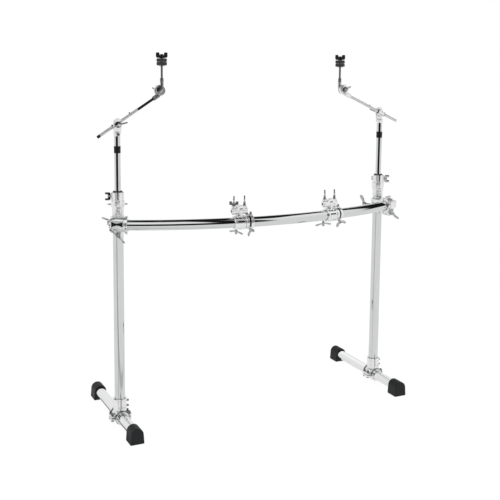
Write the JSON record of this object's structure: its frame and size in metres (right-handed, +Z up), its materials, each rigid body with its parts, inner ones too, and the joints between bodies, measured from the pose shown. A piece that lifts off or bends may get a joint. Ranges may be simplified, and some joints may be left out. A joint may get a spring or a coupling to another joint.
{
  "type": "drum rack frame",
  "caption": "Free-standing chrome drum rack with a curved bar between two upright posts on rubber-footed legs, boom cymbal arms on top and tom clamps on the bar.",
  "frame": {"origin": "on the floor, in the middle of the four feet", "axes": "+Z up, +X towards the right post as the audience sees it, +Y towards the drummer, so the bar bows out towards -Y"},
  "size_m": [1.2536, 0.5266, 1.3595],
  "materials": {
    "chrome_tube": "mirror chrome plating on steel tube",
    "cast_chrome": "satin to bright chrome plating on castings",
    "black_metal": "black satin",
    "black_rubber": "matt moulded rubber",
    "grey_felt": "pressed felt"
  },
  "bodies": {
    "left_leg": {"left_leg_tube": "chrome_tube", "left_front_foot": "black_rubber", "left_rear_foot": "black_rubber"},
    "left_tee": {"left_tee_clamp": "cast_chrome", "left_tee_strap": "cast_chrome"},
    "left_upright": {"left_post": "chrome_tube", "left_mast_socket": "cast_chrome"},
    "left_socket_bolt": {"left_socket_wing_bolt": "cast_chrome"},
    "left_rear_bolt": {"left_rear_wing_bolt": "cast_chrome"},
    "left_clamp": {"left_clamp_body": "cast_chrome"},
    "left_jaw": {"left_bar_jaw": "cast_chrome"},
    "left_bar_bolt": {"left_bar_wing_bolt": "cast_chrome"},
    "left_post_bolt": {"left_post_wing_bolt": "cast_chrome"},
    "left_mast_tube": {"left_mast": "chrome_tube"},
    "left_tilter": {"left_tilter_body": "cast_chrome"},
    "left_tilter_nut": {"left_tilter_wing_nut": "cast_chrome"},
    "left_barrel": {"left_rod_barrel": "cast_chrome"},
    "left_boom": {"left_boom_rod": "chrome_tube", "left_ratchet_lower": "cast_chrome"},
    "left_ratchet_bolt": {"left_ratchet_wing_bolt": "cast_chrome"},
    "left_arm": {"left_cymbal_arm": "cast_chrome", "left_cymbal_felt": "grey_felt"},
    "left_cymbal_nut": {"left_cymbal_wing_nut": "black_metal"},
    "bar": {"curved_bar": "chrome_tube"},
    "left_lock": {"left_tom_ring": "cast_chrome"},
    "left_lock_bolt": {"left_tom_ring_wing_bolt": "cast_chrome"},
    "left_saddle": {"left_tom_saddle": "cast_chrome"},
    "left_saddle_bolt": {"left_tom_saddle_wing_bolt": "cast_chrome"},
    "left_holder": {"left_tom_holder": "cast_chrome"},
    "left_outer_bolt": {"left_tom_outer_wing_bolt": "cast_chrome"},
    "left_inner_bolt": {"left_tom_inner_wing_bolt": "cast_chrome"},
    "right_lock": {"right_tom_ring": "cast_chrome"},
    "right_lock_bolt": {"right_tom_ring_wing_bolt": "cast_chrome"},
    "right_saddle": {"right_tom_saddle": "cast_chrome"},
    "right_saddle_bolt": {"right_tom_saddle_wing_bolt": "cast_chrome"},
    "right_holder": {"right_tom_holder": "cast_chrome"},
    "right_outer_bolt": {"right_tom_outer_wing_bolt": "cast_chrome"},
    "right_inner_bolt": {"right_tom_inner_wing_bolt": "cast_chrome"},
    "right_clamp": {"right_clamp_body": "cast_chrome"},
    "right_jaw": {"right_bar_jaw": "cast_chrome"},
    "right_bar_bolt": {"right_bar_wing_bolt": "cast_chrome"},
    "right_post_bolt": {"right_post_wing_bolt": "cast_chrome"},
    "right_upright": {"right_post": "chrome_tube", "right_mast_socket": "cast_chrome"},
    "right_socket_bolt": {"right_socket_wing_bolt": "cast_chrome"},
    "right_mast_tube": {"right_mast": "chrome_tube"},
    "right_tilter": {"right_tilter_body": "cast_chrome"},
    "right_tilter_nut": {"right_tilter_wing_nut": "cast_chrome"},
    "right_barrel": {"right_rod_barrel": "cast_chrome"},
    "right_boom": {"right_boom_rod": "chrome_tube", "right_ratchet_lower": "cast_chrome"},
    "right_ratchet_bolt": {"right_ratchet_wing_bolt": "cast_chrome"},
    "right_arm": {"right_cymbal_arm": "cast_chrome", "right_cymbal_felt": "grey_felt"},
    "right_cymbal_nut": {"right_cymbal_wing_nut": "black_metal"},
    "right_tee": {"right_tee_clamp": "cast_chrome", "right_tee_strap": "cast_chrome"},
    "right_leg": {"right_leg_tube": "chrome_tube", "right_front_foot": "black_rubber", "right_rear_foot": "black_rubber"}
  },
  "joints": [
    {"name": "left_leg_slide", "type": "slide", "parent": "left_leg", "child": "left_tee", "axis": [0, 1, 0], "range_m": [-0.11, 0.2]},
    {"name": "left_post_turn", "type": "hinge", "parent": "left_tee", "child": "left_upright", "pos_m": [-0.55149, -0.053, 0.1], "axis": [0, 0, 1], "range_deg": [-45, 45]},
    {"name": "left_socket_bolt_turn", "type": "hinge", "parent": "left_upright", "child": "left_socket_bolt", "pos_m": [-0.55149, -0.053, 0.849], "axis": [-0.9613, 0.2756, 0], "continuous": true},
    {"name": "left_rear_bolt_turn", "type": "hinge", "parent": "left_upright", "child": "left_rear_bolt", "pos_m": [-0.55149, -0.053, 0.813], "axis": [0.2756, 0.9613, 0], "continuous": true},
    {"name": "left_clamp_height", "type": "slide", "parent": "left_upright", "child": "left_clamp", "axis": [0, 0, 1], "range_m": [-0.5, 0]},
    {"name": "left_jaw_hinge", "type": "hinge", "parent": "left_clamp", "child": "left_jaw", "pos_m": [-0.5747, -0.10177, 0.787], "axis": [-0.9031, 0.4295, 0], "range_deg": [0, 60]},
    {"name": "left_bar_bolt_turn", "type": "hinge", "parent": "left_jaw", "child": "left_bar_bolt", "pos_m": [-0.56656, -0.10563, 0.721], "axis": [-0.4295, -0.9031, 0], "continuous": true},
    {"name": "left_post_bolt_turn", "type": "hinge", "parent": "left_clamp", "child": "left_post_bolt", "pos_m": [-0.5804, -0.03926, 0.752], "axis": [0.4295, 0.9031, 0], "continuous": true},
    {"name": "left_mast_height", "type": "slide", "parent": "left_upright", "child": "left_mast_tube", "axis": [0, 0, 1], "range_m": [-0.12, 0.18]},
    {"name": "left_mast_swivel", "type": "hinge", "parent": "left_mast_tube", "child": "left_tilter", "pos_m": [-0.55149, -0.053, 1.07], "axis": [0, 0, 1], "continuous": true},
    {"name": "left_tilter_nut_turn", "type": "hinge", "parent": "left_barrel", "child": "left_tilter_nut", "pos_m": [-0.55149, -0.053, 1.1045], "axis": [0, -1, 0], "continuous": true},
    {"name": "left_boom_tilt", "type": "hinge", "parent": "left_tilter", "child": "left_barrel", "pos_m": [-0.55149, -0.053, 1.1045], "axis": [0, -1, 0], "range_deg": [-40, 22]},
    {"name": "left_boom_slide", "type": "slide", "parent": "left_barrel", "child": "left_boom", "axis": [0.8425, 0, 0.5388], "range_m": [-0.04, 0.05]},
    {"name": "left_ratchet_bolt_turn", "type": "hinge", "parent": "left_boom", "child": "left_ratchet_bolt", "pos_m": [-0.39084, -0.053, 1.22267], "axis": [0, 1, 0], "continuous": true},
    {"name": "left_ratchet_tilt", "type": "hinge", "parent": "left_boom", "child": "left_arm", "pos_m": [-0.39084, -0.053, 1.22267], "axis": [0, 1, 0], "range_deg": [-60, 60]},
    {"name": "left_cymbal_nut_turn", "type": "hinge", "parent": "left_arm", "child": "left_cymbal_nut", "pos_m": [-0.38584, -0.0595, 1.337], "axis": [0, 0, 1], "continuous": true},
    {"name": "left_bar_slide", "type": "hinge", "parent": "left_clamp", "child": "bar", "pos_m": [0, 1.10653, 0.754], "axis": [0, 0, 1], "range_deg": [-3, 0.5]},
    {"name": "left_tom_slide", "type": "hinge", "parent": "bar", "child": "left_lock", "pos_m": [0, 1.10653, 0.754], "axis": [0, 0, 1], "range_deg": [-8, 5]},
    {"name": "left_lock_bolt_turn", "type": "hinge", "parent": "left_lock", "child": "left_lock_bolt", "pos_m": [-0.1165, -0.22674, 0.754], "axis": [-0.0676, -0.6119, -0.788], "continuous": true},
    {"name": "left_tom_roll", "type": "hinge", "parent": "left_lock", "child": "left_saddle", "pos_m": [-0.14682, -0.22339, 0.754], "axis": [0.994, -0.1097, 0], "range_deg": [-20, 20]},
    {"name": "left_saddle_bolt_turn", "type": "hinge", "parent": "left_saddle", "child": "left_saddle_bolt", "pos_m": [-0.14916, -0.18993, 0.745], "axis": [0, 0, -1], "continuous": true},
    {"name": "left_holder_swivel", "type": "hinge", "parent": "left_saddle", "child": "left_holder", "pos_m": [-0.15279, -0.22273, 0.78], "axis": [0, 0, 1], "range_deg": [-80, 80]},
    {"name": "left_outer_bolt_turn", "type": "hinge", "parent": "left_holder", "child": "left_outer_bolt", "pos_m": [-0.17379, -0.22273, 0.817], "axis": [0, 0, 1], "continuous": true},
    {"name": "left_inner_bolt_turn", "type": "hinge", "parent": "left_holder", "child": "left_inner_bolt", "pos_m": [-0.13179, -0.22273, 0.817], "axis": [0, 0, 1], "continuous": true},
    {"name": "right_tom_slide", "type": "hinge", "parent": "bar", "child": "right_lock", "pos_m": [0, 1.10653, 0.754], "axis": [0, 0, 1], "range_deg": [-5, 8]},
    {"name": "right_lock_bolt_turn", "type": "hinge", "parent": "right_lock", "child": "right_lock_bolt", "pos_m": [0.26467, -0.20539, 0.754], "axis": [0.108, -0.6061, -0.788], "continuous": true},
    {"name": "right_tom_roll", "type": "hinge", "parent": "right_lock", "child": "right_saddle", "pos_m": [0.23464, -0.21074, 0.754], "axis": [0.9845, 0.1754, 0], "range_deg": [-20, 20]},
    {"name": "right_saddle_bolt_turn", "type": "hinge", "parent": "right_saddle", "child": "right_saddle_bolt", "pos_m": [0.22295, -0.1793, 0.745], "axis": [0, 0, -1], "continuous": true},
    {"name": "right_holder_swivel", "type": "hinge", "parent": "right_saddle", "child": "right_holder", "pos_m": [0.22873, -0.21179, 0.78], "axis": [0, 0, 1], "range_deg": [-80, 80]},
    {"name": "right_outer_bolt_turn", "type": "hinge", "parent": "right_holder", "child": "right_outer_bolt", "pos_m": [0.24973, -0.21179, 0.817], "axis": [0, 0, 1], "continuous": true},
    {"name": "right_inner_bolt_turn", "type": "hinge", "parent": "right_holder", "child": "right_inner_bolt", "pos_m": [0.20773, -0.21179, 0.817], "axis": [0, 0, 1], "continuous": true},
    {"name": "right_bar_slide", "type": "hinge", "parent": "bar", "child": "right_clamp", "pos_m": [0, 1.10653, 0.754], "axis": [0, 0, 1], "range_deg": [-5, 0.5]},
    {"name": "right_jaw_hinge", "type": "hinge", "parent": "right_clamp", "child": "right_jaw", "pos_m": [0.5747, -0.10177, 0.787], "axis": [-0.9031, -0.4295, 0], "range_deg": [0, 60]},
    {"name": "right_bar_bolt_turn", "type": "hinge", "parent": "right_jaw", "child": "right_bar_bolt", "pos_m": [0.56656, -0.10563, 0.721], "axis": [0.4295, -0.9031, 0], "continuous": true},
    {"name": "right_post_bolt_turn", "type": "hinge", "parent": "right_clamp", "child": "right_post_bolt", "pos_m": [0.5226, -0.06674, 0.752], "axis": [-0.4295, 0.9031, 0], "continuous": true},
    {"name": "right_clamp_height", "type": "slide", "parent": "right_clamp", "child": "right_upright", "axis": [0, 0, 1], "range_m": [0, 0.5]},
    {"name": "right_socket_bolt_turn", "type": "hinge", "parent": "right_upright", "child": "right_socket_bolt", "pos_m": [0.55149, -0.053, 0.857], "axis": [0.8387, -0.5446, 0], "continuous": true},
    {"name": "right_mast_height", "type": "slide", "parent": "right_upright", "child": "right_mast_tube", "axis": [0, 0, 1], "range_m": [-0.12, 0.18]},
    {"name": "right_mast_swivel", "type": "hinge", "parent": "right_mast_tube", "child": "right_tilter", "pos_m": [0.55149, -0.053, 1.091], "axis": [0, 0, 1], "continuous": true},
    {"name": "right_tilter_nut_turn", "type": "hinge", "parent": "right_barrel", "child": "right_tilter_nut", "pos_m": [0.55149, -0.053, 1.1255], "axis": [0, 1, 0], "continuous": true},
    {"name": "right_boom_tilt", "type": "hinge", "parent": "right_tilter", "child": "right_barrel", "pos_m": [0.55149, -0.053, 1.1255], "axis": [0, 1, 0], "range_deg": [-35, 30]},
    {"name": "right_boom_slide", "type": "slide", "parent": "right_barrel", "child": "right_boom", "axis": [-0.9092, 0, 0.4163], "range_m": [-0.04, 0.05]},
    {"name": "right_ratchet_bolt_turn", "type": "hinge", "parent": "right_boom", "child": "right_ratchet_bolt", "pos_m": [0.37596, -0.053, 1.22016], "axis": [0, -1, 0], "continuous": true},
    {"name": "right_ratchet_tilt", "type": "hinge", "parent": "right_boom", "child": "right_arm", "pos_m": [0.37596, -0.053, 1.22016], "axis": [0, -1, 0], "range_deg": [-60, 60]},
    {"name": "right_cymbal_nut_turn", "type": "hinge", "parent": "right_arm", "child": "right_cymbal_nut", "pos_m": [0.36296, -0.0465, 1.335], "axis": [0, 0, 1], "continuous": true},
    {"name": "right_post_turn", "type": "hinge", "parent": "right_upright", "child": "right_tee", "pos_m": [0.55149, -0.053, 0.1], "axis": [0, 0, 1], "range_deg": [-45, 45]},
    {"name": "right_leg_slide", "type": "slide", "parent": "right_tee", "child": "right_leg", "axis": [0, 1, 0], "range_m": [-0.2, 0.11]}
  ],
  "couplings": [
    {"joint": "right_clamp_height", "follows": "left_clamp_height", "ratio": -1}
  ]
}
